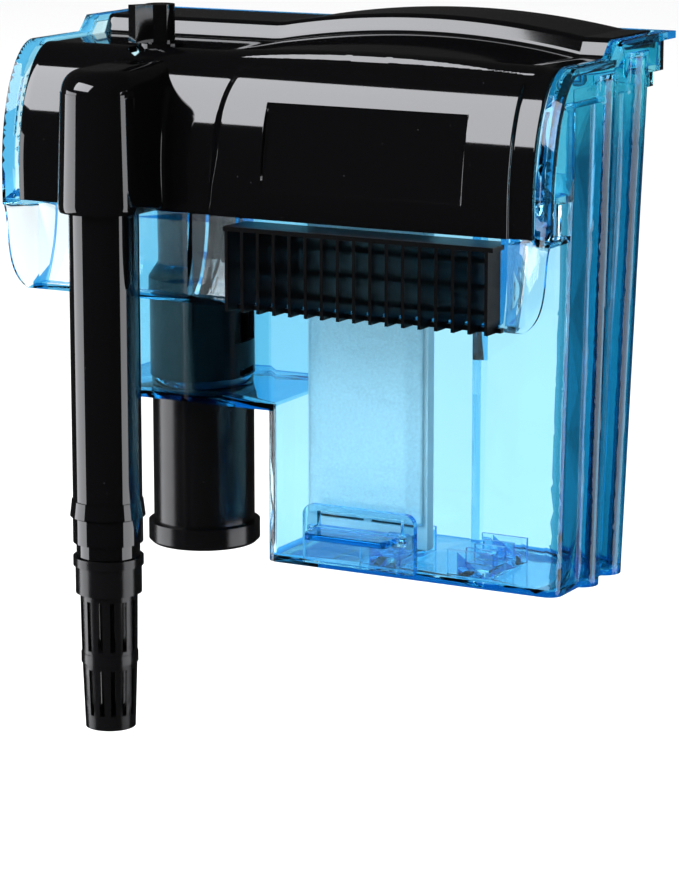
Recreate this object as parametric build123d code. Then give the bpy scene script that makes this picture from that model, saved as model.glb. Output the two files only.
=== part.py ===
from build123d import *
import os
from math import cos, radians

# Hang-on-back aquarium filter, millimetres, +Z up.
# Origin: middle of the underside of the bridge that rests on the tank rim.
# -Y points into the aquarium, +Y away from it, +X towards the spillway end.

# ---------------------------------------------------------------- driving dimensions
wall = 2.2                    # wall of the moulded body and of the lid
slot_half = 5.0               # half of the gap that takes the tank wall
bridge_t = 2.4                # thickness of the bridge that rests on the tank rim
rim_half = 109.5              # outer edge of the side rims
side_half = 106.2             # outer face of the upper side walls
lid_half = 103.0              # half width of the lid
front_y = -21.0               # front plane of the overhang box and of the lid
rear_y = 80.0                 # outer face of the upper rear wall
flange_y = 83.0               # rear edge of the top flange
ledge_z = -10.3               # lower front edge of the lid and top of the ledges below it
shoulder_z = 46.0             # side rims in front of the step
plateau_z = 51.7              # side rims behind the step
step_y = (32.0, 37.5)         # start and end of the sloped step in the side rims
rim_t = 2.6                   # thickness of the outward rim

deep_x0 = -15.5               # left wall of the deep reservoir
deep_top = (-15.5, 105.0, 5.0, 70.0, 38.0)        # x0, x1, y0, y1, z
deep_bottom = (-15.5, 101.5, 5.0, 63.0, -140.3)
shallow_top = (-98.0, -4.0, 5.0, 70.0, 38.0)
shallow_bottom = (-95.0, -4.0, 5.0, 64.5, -84.3)
flute_protrusion = 4.6        # how far the vertical flutes stand out of the side wall

box_x = (-97.5, 93.5)         # outer faces of the overhang box
box_bottom_z = -42.3
box_rear_y = -12.5            # rear face of the overhang box at its bottom
chamber_split_x = -31.5       # wall between the spillway and the blind chamber
screen_x = (-11.6, 92.7)      # front frame of the slotted screen
screen_front_y = -30.0

tube_x = -58.0                # axis of the intake and of the pump, seen from above
intake_y = -34.0              # outer leg of the U tube
pump_y = 34.0                 # inner leg of the U tube, impeller and motor
tube_r = 12.5
tube_bore_r = 10.5
crossing_z = 23.7             # height of the U tube's crossing
bend_r = 20.0
outer_leg_z = -113.8
inner_leg_z = -70.0
running_gap = 0.06            # radial clearance of the sliding tubes and of the shaft

knob_y = 6.0                  # axis of the flow knob on the crossing
knob_r = 5.2
knob_flange_r = 8.0
knob_z = (40.6, 60.2)
knob_fin = (11.8, 5.0)        # reach and width of the finger grip
knob_fin_angle = 241.4        # direction of the finger grip seen from above, from +X

cover_r = 19.5                # impeller cover above the pump floor
sleeve_r = 15.8               # its sleeve around the inner leg of the U tube

floor_z = -84.3               # underside of the shallow reservoir floor
motor_r = 19.0
motor_z = (-141.3, -86.3)
well_r = 8.2                  # bore in which the rotor turns
shaft_r = 1.5

os.makedirs("parts", exist_ok=True)


# ---------------------------------------------------------------- helpers
def block(x0, x1, y0, y1, z0, z1):
    """Box between two corners."""
    return Pos((x0 + x1) / 2, (y0 + y1) / 2, (z0 + z1) / 2) * Box(x1 - x0, y1 - y0, z1 - z0)


def post(x, y, z0, z1, radius):
    """Upright cylinder."""
    return Pos(x, y, (z0 + z1) / 2) * Cylinder(radius, z1 - z0)


def taper(x, y, z0, z1, r0, r1):
    """Upright cone frustum with radius r0 at z0 and r1 at z1."""
    return Pos(x, y, (z0 + z1) / 2) * Cone(r0, r1, z1 - z0)


def pipe(x, y, z0, z1, outer, inner):
    """Upright tube."""
    return post(x, y, z0, z1, outer) - post(x, y, z0 - 1, z1 + 1, inner)


def prism(face, x0, x1):
    """Extrude a face drawn in the YZ plane from x0 to x1."""
    return Pos(x0, 0, 0) * extrude(face, amount=x1 - x0)


def panel(face, y0, y1):
    """Extrude a face drawn in the XZ plane from y0 to y1."""
    return Pos(0, y1, 0) * extrude(face, amount=y1 - y0)


def side_face(*edges):
    """Closed face in the YZ plane from its edges."""
    return Plane.YZ * make_face(Wire(edges) if len(edges) > 1 else Wire(edges[0].edges()))


def front_face(*edges):
    """Closed face in the XZ plane from its edges."""
    return Plane.XZ * make_face(Wire(edges) if len(edges) > 1 else Wire(edges[0].edges()))


def tub(bottom, top, radius, inset=0.0, lift=0.0):
    """Tapered tub with rounded upright corners between two rectangles."""
    sections = []
    for (x0, x1, y0, y1, z), dz in ((bottom, lift), (top, 0.0)):
        width = x1 - x0 - 2 * inset
        depth = y1 - y0 - 2 * inset
        place = Pos((x0 + x1) / 2, (y0 + y1) / 2, z + dz)
        sections.append(place * RectangleRounded(width, depth, max(radius - inset, 0.8)))
    return loft(sections)


def flute(y_bottom, r_bottom, y_top, r_top, z_top, inset=0.0, lift=0.0):
    """Leaning, tapering round column that stands out of the right-hand side wall."""
    share = (z_top - deep_bottom[4]) / (deep_top[4] - deep_bottom[4])
    x_bottom = deep_bottom[1] + flute_protrusion - r_bottom
    x_top = deep_bottom[1] + (deep_top[1] - deep_bottom[1]) * share + flute_protrusion - r_top
    low = Pos(x_bottom, y_bottom, deep_bottom[4] + lift) * Circle(r_bottom - inset)
    high = Pos(x_top, y_top, z_top - inset) * Circle(r_top - inset)
    return loft([low, high])


def save(node, shape):
    """Write one named piece."""
    export_step(shape, "parts/" + node + ".step")


# ---------------------------------------------------------------- blue body
flutes = (
    # y at the bottom, r at the bottom, y at the top, r at the top, z of the cap
    (29.5, 6.2, 31.0, 8.6, 41.0),
    (49.0, 6.4, 57.0, 8.9, 46.5),
)


side_foot_z = 33.0            # foot of the upper side walls behind the tank wall
rib_half = side_half + 1.2    # outer face of the ribs on the side walls


def rim_region(inset=0.0):
    """Side outline of the upper body, from the front ledge over the rims to the rear."""
    y0, y1 = step_y[0] + 0.4 * inset, step_y[1] + 0.4 * inset
    low, high = shoulder_z - inset, plateau_z - inset
    front = EllipticalCenterArc((1.0, -1.3), 22.0 - inset, low + 1.3, start_angle=90, arc_size=90)
    start = front @ 0
    end = front @ 1
    rear = flange_y + 1 if inset else flange_y
    return side_face(
        front,
        Line((start.X, start.Y), (y0, low)),
        Line((y0, low), (y1, high)),
        Line((y1, high), (rear, high)),
        Line((rear, high), (rear, -60)),
        Line((rear, -60), (end.X, -60)),
        Line((end.X, -60), (end.X, end.Y)),
    )


def overhang_outline(inset):
    """Side outline of the box that hangs in front of the tank wall."""
    top = bridge_t if inset == 0 else plateau_z
    rear_top = -slot_half - inset
    rear_low = box_rear_y - inset
    front = front_y + inset
    low = box_bottom_z + inset
    return side_face(
        Line((front, top), (front, low)),
        Line((front, low), (rear_low, low)),
        Spline((rear_low, low), (-7.0 - inset, -27.0), (rear_top, -10.0)),
        Line((rear_top, -10.0), (rear_top, top)),
        Line((rear_top, top), (front, top)),
    )


def make_upper_body():
    """Side walls, bridge and rear wall of the upper body, open at the front and on top."""
    shell = block(-side_half, side_half, slot_half, rear_y, 37.9, plateau_z)
    shell += block(-side_half, side_half, slot_half - 1, 71.0, side_foot_z, shoulder_z + 8)
    shell += block(-side_half, side_half, front_y - 2, slot_half, 0, shoulder_z + 8)
    shell = shell & prism(rim_region(), -side_half, side_half)
    inner = side_half - wall - 0.2
    shell -= block(-inner, inner, -40, rear_y - wall, 40.1, 70)
    shell -= block(-inner, inner, -40, 69.0, bridge_t, 70)
    shell -= block(-inner, inner, -40, -slot_half - wall, -1, 70)
    for side in (-1, 1):
        shell += block(*sorted((side * inner, side * side_half)), front_y, -slot_half, ledge_z - 1, 1)
    return shell + make_side_ribs()


def make_side_ribs():
    """Low rib on each side wall: along the foot of the wall and up inside the curved rim."""
    band = prism(rim_region(6.5), -rib_half, rib_half) - prism(rim_region(8.0), -rib_half - 1, rib_half + 1)
    ribs = band & block(-rib_half, rib_half, front_y, 10, 0, side_foot_z + 1)
    ribs += block(-rib_half, rib_half, -5.0, 38.0, side_foot_z - 1, side_foot_z + 0.6)
    return ribs - block(-side_half + 1, side_half - 1, -40, 90, -20, 80)


def make_rims():
    """Outward rims that follow the side outline, and the flange along the rear wall."""
    rims = prism(rim_region(), side_half - 1, rim_half) + prism(rim_region(), -rim_half, 1 - side_half)
    rims -= prism(rim_region(rim_t), -rim_half - 1, rim_half + 1)
    rims = rims & block(-150, 150, front_y - 4, rear_y, ledge_z - 2.2, 70)
    return rims + block(-rim_half, rim_half, rear_y - 1, flange_y, plateau_z - rim_t, plateau_z)


def make_overhang():
    """Overhang box with a blind chamber on the left and the spillway chamber on the right."""
    shell = prism(overhang_outline(0), *box_x)
    hollow = overhang_outline(wall)
    shell -= prism(hollow, box_x[0] + wall, chamber_split_x - wall / 2)
    shell -= prism(hollow, chamber_split_x + wall / 2, box_x[1] - wall)
    shell -= block(-120, 120, front_y - 1, -slot_half - wall, ledge_z, 20)
    shell -= block(screen_x[0], box_x[1] - wall, front_y - 1, front_y + wall + 1, box_bottom_z + wall, 20)
    for side in (-1, 1):
        inner = box_x[1] - 1 if side > 0 else -box_x[0] - 1
        shell += block(*sorted((side * inner, side * rim_half)), front_y, -slot_half, ledge_z - wall, ledge_z)
        shell += block(*sorted((side * inner, side * side_half)), -slot_half - wall, -slot_half,
                       ledge_z - wall, bridge_t)
    return shell


def make_wing(side):
    """Thin curved gusset between the side rim and the bottom of the overhang box."""
    inner = side * (box_x[1] - 0.5) if side > 0 else box_x[0] + 0.5
    tip = side * (rim_half - 0.2)
    foot = side * 99.5
    face = front_face(
        Line((inner, ledge_z - 1), (tip, ledge_z - 1)),
        Spline((tip, ledge_z - 1), (side * 107.3, -27.0), (side * 103.4, -39.0), (foot, box_bottom_z)),
        Line((foot, box_bottom_z), (inner, box_bottom_z)),
        Line((inner, box_bottom_z), (inner, ledge_z - 1)),
    )
    return panel(face, front_y, front_y + 1.4)


guide_x = ((25.0, 35.0), (60.0, 72.0))      # the two combs on the deep floor
fin_y = (12.0, 19.0, 26.0, 33.0, 40.0)
fin_t = 1.6
fin_top_z = -129.5
deep_floor_z = deep_bottom[4] + wall
weir_z = 9.0                                # top of the reservoir's front wall beside the spillway
lid_room_z = 33.0                           # above this the side walls leave room for the lid's skirt


def make_guides():
    """Combs on the deep floor that hold the lower edge of a cartridge, and the rear rib."""
    guides = block(42.5, 46.0, 58.0, 63.5, deep_floor_z - 0.5, 36.0) & tub(deep_bottom, deep_top, 5.0, 1.0, 1.0)
    for x0, x1 in guide_x:
        guides += block(x0, x1, fin_y[0], fin_y[-1], deep_floor_z - 1, deep_floor_z + 3.0)
        for y in fin_y:
            guides += block(x0, x1, y - fin_t / 2, y + fin_t / 2, deep_floor_z - 1, fin_top_z)
        for y in (fin_y[0], fin_y[-1]):
            guides += block(x0 - 4, x1 + 2, y - 0.7, y + 0.7, deep_floor_z - 1, fin_top_z + 0.5)
    return guides


def make_body():
    outer = tub(deep_bottom, deep_top, 5.0) + tub(shallow_bottom, shallow_top, 5.0)
    for y0, r0, y1, r1, z1 in flutes:
        outer += flute(y0, r0, y1, r1, z1)
    outer += make_upper_body()
    hollow = tub(deep_bottom, deep_top, 5.0, wall, wall) + tub(shallow_bottom, shallow_top, 5.0, wall, wall)
    for y0, r0, y1, r1, z1 in flutes:
        hollow += flute(y0, r0, y1, r1, z1, wall, wall)
    hollow += block(deep_x0 - 4, deep_x0 + 4, slot_half + wall, 61.5, floor_z + wall + 0.2, 36.0)
    hollow += block(-side_half + 4, side_half - 4, slot_half + wall, 67.5, 37.0, 44.0)
    body = outer - hollow
    body -= block(chamber_split_x + wall / 2, box_x[1] - wall, slot_half - 1, slot_half + wall + 1, bridge_t, 60)
    body -= block(-103.5, 103.5, slot_half - 1, slot_half + wall + 0.1, weir_z, 60)
    body -= block(-103.5, 103.5, slot_half + wall, 66.0, lid_room_z, 60)
    body += block(chamber_split_x - wall / 2, chamber_split_x + wall / 2, -slot_half - 3, slot_half + wall, 1, 22.0)
    body += make_rims() + make_overhang() + make_wing(1) + make_wing(-1) + make_guides()
    body += pipe(tube_x, pump_y, floor_z, floor_z + 5.0, 19.0, 16.3)
    body -= post(tube_x, pump_y, floor_z - 2, floor_z + 6, 16.3)
    for side in (-1, 1):
        body += block(*sorted((side * 100.9, side * 105.0)), 60.0, 66.0, 38.1, 40.1)
    return body


# ---------------------------------------------------------------- lid
lid_gap = 0.4                 # the lid's skin lies this far inside the outline of the side rims
lid_brow = (38.2, 45.4)       # foot of the sloped face, y and z
lid_slope_top = (42.8, 52.0)
lid_rear_y = 77.2
panel_x = (-22.3, 93.5)       # raised middle panel on the front
panel_rise = 1.4
arch_x = (-28.0, 92.0)        # between these the rear of the lid arches up
arch_rise = 5.4
arch_front = (-5.0, 45.3)     # front edge of the arch, y and z
arch_front_share = 0.32       # part of the arch's rise that its front edge has
hood_r = (16.3, 14.4)         # radius of the intake hood at its bottom and at its top
hood_z = (-9.5, 42.6)


def lid_face(grow=0.0):
    """Side outline of the lid, closed far below; grow moves its skin outwards."""
    low = -80.0
    front = EllipticalCenterArc(
        (1.0, -1.3), 22.0 - lid_gap + grow, lid_brow[1] + 1.3 + grow, start_angle=90, arc_size=90
    )
    start = front @ 0
    end = front @ 1
    brow = (lid_brow[0] - 0.5 * grow, lid_brow[1] + grow)
    slope_top = (lid_slope_top[0] - 0.5 * grow, lid_slope_top[1] + grow)
    rear = lid_rear_y + grow
    return side_face(
        front,
        Line((start.X, start.Y), brow),
        Line(brow, slope_top),
        Line(slope_top, (rear, slope_top[1])),
        Line((rear, slope_top[1]), (rear, low)),
        Line((rear, low), (end.X, low)),
        Line((end.X, low), (end.X, end.Y)),
    )


def lid_arch(drop):
    """Arched rear of the lid, from its front edge back over the sloped face; drop lowers its skin."""
    middle = (arch_x[0] + arch_x[1]) / 2
    half = (arch_x[1] - arch_x[0]) / 2
    base = 38.0
    sections = []
    for step in range(-4, 5):
        share = step / 4
        rise = arch_rise * (1 - share ** 2)
        outline = [
            (arch_front[0] + drop, base),
            (arch_front[0] + drop, arch_front[1] + arch_front_share * rise - drop),
            (lid_brow[0] + 0.5 * drop, lid_brow[1] + rise - drop),
            (lid_slope_top[0] + 0.5 * drop, lid_slope_top[1] + rise - drop),
            (lid_rear_y - drop, lid_slope_top[1] + rise - drop),
            (lid_rear_y - drop, base),
        ]
        x = middle + share * (half - drop)
        edges = [Line(outline[i - 1], outline[i]) for i in range(len(outline))]
        sections.append(Pos(x, 0, 0) * side_face(*edges))
    return loft(sections, ruled=True)


def hood_solid(inset):
    """U-shaped hood over the intake tube, drafted, running back into the lid."""
    z0, z1 = hood_z[0] - (5 if inset else 0), hood_z[1] - inset
    low, high = hood_r[0] - inset, hood_r[1] - inset
    nose = taper(tube_x, intake_y, z0, z1, low, high)
    back = loft([
        Pos(tube_x, intake_y / 2, z0) * Rectangle(2 * low, -intake_y),
        Pos(tube_x, intake_y / 2, z1) * Rectangle(2 * high, -intake_y),
    ])
    top = block(tube_x - high, tube_x + high, -2, 17.0, 30.0 if inset else 34.0, z1)
    slope = side_face(
        Line((-60, 38.6 - inset), (-40, 40.4 - inset)),
        Line((-40, 40.4 - inset), (20, hood_z[1] - inset)),
        Line((20, hood_z[1] - inset), (20, 60)),
        Line((20, 60), (-60, 60)),
        Line((-60, 60), (-60, 38.6 - inset)),
    )
    return nose + back + top - prism(slope, -80, -30)


def make_lid():
    front_block = block(-lid_half, lid_half, -40, arch_front[0] + 1, ledge_z, 60)
    outer = prism(lid_face(), -lid_half, lid_half)
    outer += prism(lid_face(panel_rise), *panel_x) & front_block
    outer += lid_arch(0)
    hollow = prism(lid_face(-wall), wall - lid_half, lid_half - wall) + lid_arch(wall)
    skirt = side_face(
        Line((-16.5, -90), (-16.5, 3)),
        Line((-16.5, 3), (-13.5, 14)),
        Line((-13.5, 14), (8, 34)),
        Line((8, 34), (38, 38)),
        Line((38, 38), (90, 46)),
        Line((90, 46), (90, -90)),
        Line((90, -90), (-16.5, -90)),
    )
    lid = outer - hollow - prism(skirt, -120, 120) - block(-120, 120, -30, 90, -90, ledge_z)
    lid += hood_solid(0)
    lid -= hood_solid(wall)
    lid -= prism(lid_face(-wall), tube_x - 14, tube_x + 14) & block(-90, -30, -40, 12, -90, 41.5)
    lid -= block(tube_x - 20, tube_x + 20, -slot_half - wall - 1, 20, -20, bridge_t + 1)
    # keyhole, so that the lid lifts over the knob when the grip stands at its fully open mark
    reach, half = knob_fin[0] + 0.8, knob_fin[1] / 2 + 0.8
    lid -= Pos(tube_x, knob_y, 0) * Rot(0, 0, knob_fin_angle) * block(0, reach, -half, half, 30, 60)
    return lid - post(tube_x, knob_y, 30, 60, knob_flange_r + 0.6)


# ---------------------------------------------------------------- intake and pump
def u_path(z_outer, z_inner):
    """Centre line of the U tube, from the outer leg over the tank rim to the inner leg."""
    bend_z = crossing_z - bend_r
    quarter = bend_r * (1 - cos(radians(45)))
    outer_mid = (tube_x, intake_y + quarter, crossing_z - quarter)
    inner_mid = (tube_x, pump_y - quarter, crossing_z - quarter)
    return Wire([
        Line((tube_x, intake_y, z_outer), (tube_x, intake_y, bend_z)),
        ThreePointArc((tube_x, intake_y, bend_z), outer_mid, (tube_x, intake_y + bend_r, crossing_z)),
        Line((tube_x, intake_y + bend_r, crossing_z), (tube_x, pump_y - bend_r, crossing_z)),
        ThreePointArc((tube_x, pump_y - bend_r, crossing_z), inner_mid, (tube_x, pump_y, bend_z)),
        Line((tube_x, pump_y, bend_z), (tube_x, pump_y, z_inner)),
    ])


def make_u_tube():
    path = u_path(outer_leg_z, inner_leg_z)
    start = Plane(origin=(tube_x, intake_y, outer_leg_z), x_dir=(1, 0, 0), z_dir=(0, 0, 1))
    tube = sweep(start * Circle(tube_r), path=path)
    bore = sweep(start * Circle(tube_bore_r), path=path)
    boss = post(tube_x, knob_y, crossing_z, 40.0, 7.0)
    spigot = post(tube_x, intake_y, outer_leg_z - 5.8, outer_leg_z + 1, 11.6)
    tube = tube + boss + spigot - bore
    tube -= post(tube_x, intake_y, outer_leg_z - 7, outer_leg_z + 1, tube_bore_r)
    return tube - post(tube_x, knob_y, crossing_z, 41, 3.0 + running_gap)


def make_strainer():
    """Slotted strainer basket with its spigot, ring and cup."""
    x, y = tube_x, intake_y
    body = post(x, y, -137.8, -134.6, 12.75) + taper(x, y, -148.0, -137.8, 12.0, 12.0001)
    body += taper(x, y, -170.3, -148.0, 10.1, 10.4) + taper(x, y, -198.3, -170.3, 9.1, 10.1)
    body += post(x, y, -173.9, -170.3, 10.35)
    body += post(x, y, -134.6, -122.0, 9.2 - running_gap)
    body -= post(x, y, -150.0, -120.0, 7.8) + taper(x, y, -196.3, -150.0, 7.4, 8.4)
    slots = 14
    for row_z0, row_z1 in ((-168.8, -150.3), (-193.0, -175.8)):
        for i in range(slots):
            cut = Pos(8.0, 0, (row_z0 + row_z1) / 2) * Box(12.0, 1.8, row_z1 - row_z0)
            body -= Pos(x, y, 0) * Rot(0, 0, 360 * i / slots) * cut
    for i in range(6):
        body -= Pos(x, y, 0) * Rot(0, 0, 60 * i) * post(5.0, 0, -199, -195, 0.9)
    return body


def make_extension():
    """Telescoping lower tube with the sleeve and neck that stay in view below the collar."""
    x, y = tube_x, intake_y
    body = post(x, y, -121.0, -62.0, tube_bore_r - running_gap)
    body += post(x, y, -129.3, -120.1, 12.65) + post(x, y, -134.3, -129.3, 11.5)
    return body - post(x, y, -135, -61, 9.2)


def make_collar():
    x, y = tube_x, intake_y
    body = taper(x, y, -119.6, outer_leg_z, 13.6, 12.9)
    return body - post(x, y, -121, outer_leg_z + 1, 11.6)


def make_knob():
    """Round knob on a flange, with a finger grip that shows where the valve stands."""
    x, y = tube_x, knob_y
    reach, width = knob_fin
    body = post(x, y, knob_z[0], 46.4, knob_flange_r) + post(x, y, 45.0, knob_z[1], knob_r)
    body += Pos(x, y, 0) * Rot(0, 0, knob_fin_angle) * block(0, reach, -width / 2, width / 2, 46.8, knob_z[1])
    return body - post(x, y, 30, 48, 3.0)


def make_valve():
    """Butterfly vane on a stem, edge-on to the flow when open."""
    x, y = tube_x, knob_y
    vane = Pos(x, y, crossing_z) * Rot(0, 90, 0) * Cylinder(10.2, 2.0)
    return vane + post(x, y, crossing_z, 48.0, 3.0)


def make_knob_seal():
    return pipe(tube_x, knob_y, 40.0, 40.5, 6.5, 3.0 + 0.3)


def make_impeller_cover():
    """Volute on the pump floor with a side outlet and a tall sleeve around the inner leg."""
    x, y = tube_x, pump_y
    body = post(x, y, floor_z + 5.0, -44.0, cover_r) + post(x, y, -38.0, 2.0, sleeve_r)
    body += taper(x, y, -44.0, -38.0, cover_r, sleeve_r)
    body -= post(x, y, floor_z + 4, -75.5, 15.5)
    body -= pipe(x, y, -70.0, -46.0, cover_r - 2, tube_r + 2) & block(x - 30, x + 30, y - 30, y + 30, -70.0, -46.0)
    body -= post(x, y, -71.5, -60, tube_r) + post(x, y, -61, 3, tube_r + 0.3)
    body -= post(x, y, -76, -71, 9.5)
    body -= block(x + 6, x + 24, y - 5, y + 5, -78.5, -76.0)
    body -= block(x + 15, x + 24, y - 7, y + 7, -66.0, -54.0)
    for i in range(3):
        arm = block(3.7, 10.0, -1.1, 1.1, -75.0, -72.5)
        body += Pos(x, y, 0) * Rot(0, 0, 30 + 120 * i) * arm
    return body + pipe(x, y, -75.0, -72.0, 4.4, 3.2)


def make_impeller():
    """Six straight vanes on a hub."""
    x, y = tube_x, pump_y
    body = post(x, y, -97.5, -78.0, 4.6) + post(x, y, -84.4, -83.2, 11.5)
    for i in range(6):
        vane = block(3.0, 11.8, -0.8, 0.8, -83.5, -77.0)
        body += Pos(x, y, 0) * Rot(0, 0, 60 * i) * vane
    return body - post(x, y, -99, -70, shaft_r + 0.05)


def make_magnet():
    return pipe(tube_x, pump_y, -126.5, -97.5, 7.4, shaft_r + 0.05)


def make_motor_housing():
    """Cylinder below the pump floor: rotor well in the middle, winding space around it."""
    x, y = tube_x, pump_y
    body = post(x, y, motor_z[0], motor_z[1], motor_r) + pipe(x, y, motor_z[1] - 1, -80.0, 16.1, 13.6)
    body -= pipe(x, y, motor_z[0] - 1, -89.0, 17.0, 10.0)
    body -= post(x, y, -130.5, -80, well_r) + post(x, y, motor_z[0] - 1, -132.5, 12)
    body -= post(x, y, -88.3, -80, 13.6)
    return body - Pos(x, y + 18, -128.0) * Rot(90, 0, 0) * Cylinder(4.0, 6.0)


def make_end_cap():
    x, y = tube_x, pump_y
    body = post(x, y, -143.3, -135.3, 21.0) - post(x, y, motor_z[0], -134, motor_r)
    return chamfer(body.edges().group_by(Axis.Z)[0], 1.2)


def make_gland():
    """Rubber grommet through the housing wall: the cable enters the motor here."""
    x, y = tube_x, pump_y
    axis = Pos(x, y, -128.0) * Rot(-90, 0, 0)
    body = axis * (Pos(0, 0, 18.1) * Cylinder(4.0, 2.4) + Pos(0, 0, 23.0) * Cone(6.4, 4.6, 7.6))
    return body - axis * (Pos(0, 0, 22) * Cylinder(3.1, 12.0))


def make_stator():
    """Laminated core around the rotor well, the bobbin and the winding below it."""
    x, y = tube_x, pump_y
    ring = pipe(x, y, -118.0, -97.0, 16.6, 10.3)
    gap = block(x - 3, x + 3, y - 20, y, -130, -90)
    core = ring - gap
    bobbin = pipe(x, y, -120.0, -118.2, 16.4, 10.3) + pipe(x, y, -130.2, -118.2, 11.6, 10.3)
    bobbin += pipe(x, y, -131.8, -130.0, 16.4, 10.3)
    coil = pipe(x, y, -129.6, -120.4, 13.6, 11.9)
    return core, bobbin, coil


# ---------------------------------------------------------------- screen, cartridge, leveller
def make_screen():
    """Slotted drop-in screen of the spillway: upright bars between two rails."""
    x0, x1 = screen_x
    lip_z = box_bottom_z
    step_z = box_bottom_z + wall + 0.3
    bar = side_face(
        Line((screen_front_y, lip_z), (front_y - 0.3, lip_z)),
        Line((front_y - 0.3, lip_z), (front_y - 0.3, step_z)),
        Line((front_y - 0.3, step_z), (-15.2, step_z)),
        Line((-15.2, step_z), (-15.2, ledge_z - 2.0)),
        Line((-15.2, ledge_z - 2.0), (screen_front_y, ledge_z - 2.0)),
        Line((screen_front_y, ledge_z - 2.0), (screen_front_y, lip_z)),
    )
    bars = 17
    bar_t = 1.2
    inner_x0, inner_x1 = x0 + 0.6, box_x[1] - wall - 0.4
    pitch = (inner_x1 - inner_x0 - bar_t) / (bars - 1)
    screen = None
    for i in range(bars):
        x = inner_x0 + i * pitch
        piece = prism(bar, x, x + bar_t)
        screen = piece if screen is None else screen + piece
    screen += block(x0, x1, screen_front_y, front_y - 0.3, ledge_z - 3.6, ledge_z - 2.0)
    screen += block(inner_x0, inner_x1, front_y - 1, -15.2, ledge_z - 3.6, ledge_z - 2.0)
    screen += block(x0, x1, front_y - 2.3, front_y - 0.3, lip_z, lip_z + 1.6)
    for z in (-38.0, -29.0, -20.0):
        screen += block(inner_x0, inner_x1, -17.0, -15.2, z, z + 1.6)
    return screen


cartridge_x = (-9.0, 40.0)
cartridge_z = (-134.9, 18.0)
cartridge_y = (27.1, 31.9)


def make_cartridge_frame():
    """Open frame with a middle bar and a finger tab on top."""
    (x0, x1), (z0, z1), (y0, y1) = cartridge_x, cartridge_z, cartridge_y
    bar = 4.0
    frame = block(x0, x1, y0, y1, z0, z1) - block(x0 + bar, x1 - bar, y0 - 1, y1 + 1, z0 + 8, z1 - bar)
    middle = (x0 + x1) / 2
    frame += block(middle - 1.5, middle + 1.5, y0, y1, z0 + 2, z1)
    tab = block(middle - 12, middle + 12, y0 + 1, y1 - 1, z1 - 1, z1 + 9)
    return frame + tab - block(middle - 8, middle + 8, y0, y1, z1 + 2, z1 + 6)


def make_floss():
    """Front and rear sheets of fibre floss over the frame."""
    (x0, x1), (z0, z1), (y0, y1) = cartridge_x, cartridge_z, cartridge_y
    front = block(x0 + 1, x1 - 1, y0 - 4.5, y0, z0 + 9, z1 - 1)
    rear = block(x0 + 1, x1 - 1, y1, y1 + 4.5, z0 + 9, z1 - 1)
    return Compound([front, rear])


def make_carbon():
    """Two beds of granules between the frame's bars."""
    (x0, x1), (z0, z1), (y0, y1) = cartridge_x, cartridge_z, cartridge_y
    middle = (x0 + x1) / 2
    left = block(x0 + 4.2, middle - 1.7, y0 + 0.2, y1 - 0.2, z0 + 8.2, -10.0)
    right = block(middle + 1.7, x1 - 4.2, y0 + 0.2, y1 - 0.2, z0 + 8.2, -10.0)
    return Compound([left, right])


leveller_x = (2.0, 47.0)
foot_x = (8.5, 41.5)
hinge_y, hinge_z = 0.7, -125.2


def make_bracket():
    """Raised frame on the lower front of the reservoir, with a window above the hinge."""
    x0, x1 = leveller_x
    body = block(x0, x1, 2.2, slot_half, -138.0, -116.3)
    body = fillet(body.edges().filter_by(Axis.Y).group_by(Axis.Z)[-1], 4.0)
    body -= block(foot_x[0] - 0.5, foot_x[1] + 0.5, 1, slot_half + 1, -124.0, -118.5)
    for x in (foot_x[0] - 3.0, foot_x[1] + 0.4):
        body += block(x, x + 2.6, -0.8, 3.0, hinge_z - 2.0, hinge_z + 1.8)
    return body - Pos(0, hinge_y, hinge_z) * Rot(0, 90, 0) * Cylinder(1.0 + running_gap, 200)


def make_foot():
    """Fold-out foot that stands against the tank wall."""
    x0, x1 = foot_x
    body = block(x0, x1, -9.6, hinge_y, hinge_z - 1.2, hinge_z + 1.2)
    body = fillet(body.edges().filter_by(Axis.Z).group_by(Axis.Y)[0], 2.0)
    body += Pos((x0 + x1) / 2, hinge_y, hinge_z) * Rot(0, 90, 0) * Cylinder(1.2, x1 - x0)
    return body + Pos((x0 + x1) / 2, hinge_y, hinge_z) * Rot(0, 90, 0) * Cylinder(1.0, x1 - x0 + 5.6)


# ---------------------------------------------------------------- write every piece
core, bobbin, coil = make_stator()
pieces = {
    "filter_body": make_body(),
    "lid": make_lid(),
    "flow_knob": make_knob(),
    "flow_valve": make_valve(),
    "knob_seal": make_knob_seal(),
    "u_tube": make_u_tube(),
    "tube_seal": pipe(tube_x, pump_y, -71.5, -70.0, tube_r, tube_bore_r),
    "tube_collar": make_collar(),
    "extension_tube": make_extension(),
    "strainer": make_strainer(),
    "impeller_cover": make_impeller_cover(),
    "upper_bush": pipe(tube_x, pump_y, -75.0, -72.0, 3.2, shaft_r),
    "lower_bush": pipe(tube_x, pump_y, -130.5, -127.2, 5.0, shaft_r),
    "impeller_shaft": post(tube_x, pump_y, -130.5, -72.0, shaft_r),
    "impeller": make_impeller(),
    "rotor_magnet": make_magnet(),
    "motor_housing": make_motor_housing(),
    "motor_end_cap": make_end_cap(),
    "motor_seal": pipe(tube_x, pump_y, motor_z[1], floor_z, 18.6, 16.1),
    "stator_core": core,
    "coil_bobbin": bobbin,
    "stator_coil": coil,
    "potting_resin": post(tube_x, pump_y, motor_z[0], -132.5, 11.9),
    "cable_gland": make_gland(),
    "bio_screen": make_screen(),
    "cartridge_frame": make_cartridge_frame(),
    "floss_pad": make_floss(),
    "carbon_bed": make_carbon(),
    "leveller_bracket": make_bracket(),
    "leveller_foot": make_foot(),
}
for node, shape in pieces.items():
    save(node, shape)
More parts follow.
